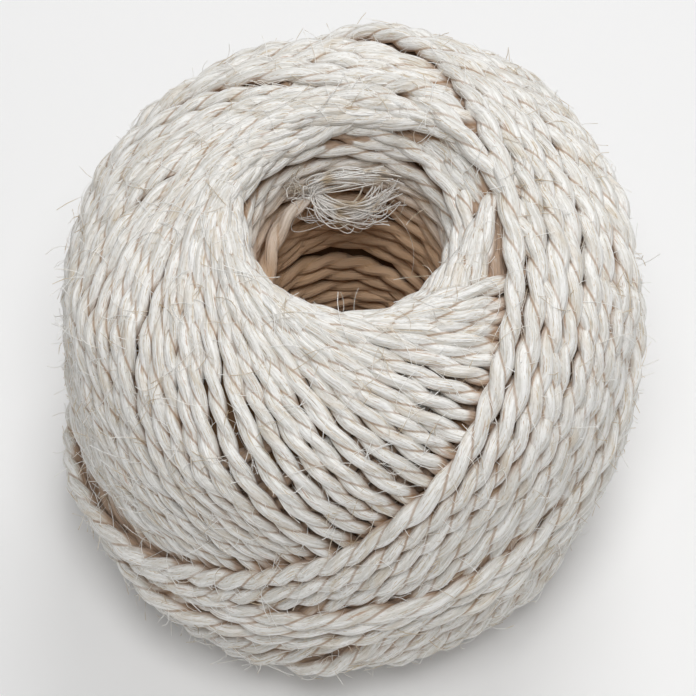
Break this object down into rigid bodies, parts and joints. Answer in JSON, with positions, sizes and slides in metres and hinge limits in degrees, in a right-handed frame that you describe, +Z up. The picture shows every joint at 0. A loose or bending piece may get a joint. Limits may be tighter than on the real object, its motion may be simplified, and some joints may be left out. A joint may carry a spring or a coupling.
{
  "type": "ball of sisal string",
  "caption": "Machine-wound ball of two-ply sisal string with an open hole through its middle, a band of turns round its waist and a frayed inner end in the mouth of the hole.",
  "frame": {"origin": "on the surface it rests on, under the centre of the ball", "axes": "+Z up the axis of the hole, +X to the right and -Y towards the viewer in front of the ball"},
  "size_m": [0.0892, 0.0904, 0.0791],
  "materials": {
    "sisal": "fibrous, off-white with a silky sheen"
  },
  "bodies": {
    "root": {"string_ball": "sisal", "loose_end": "sisal"}
  },
  "joints": []
}
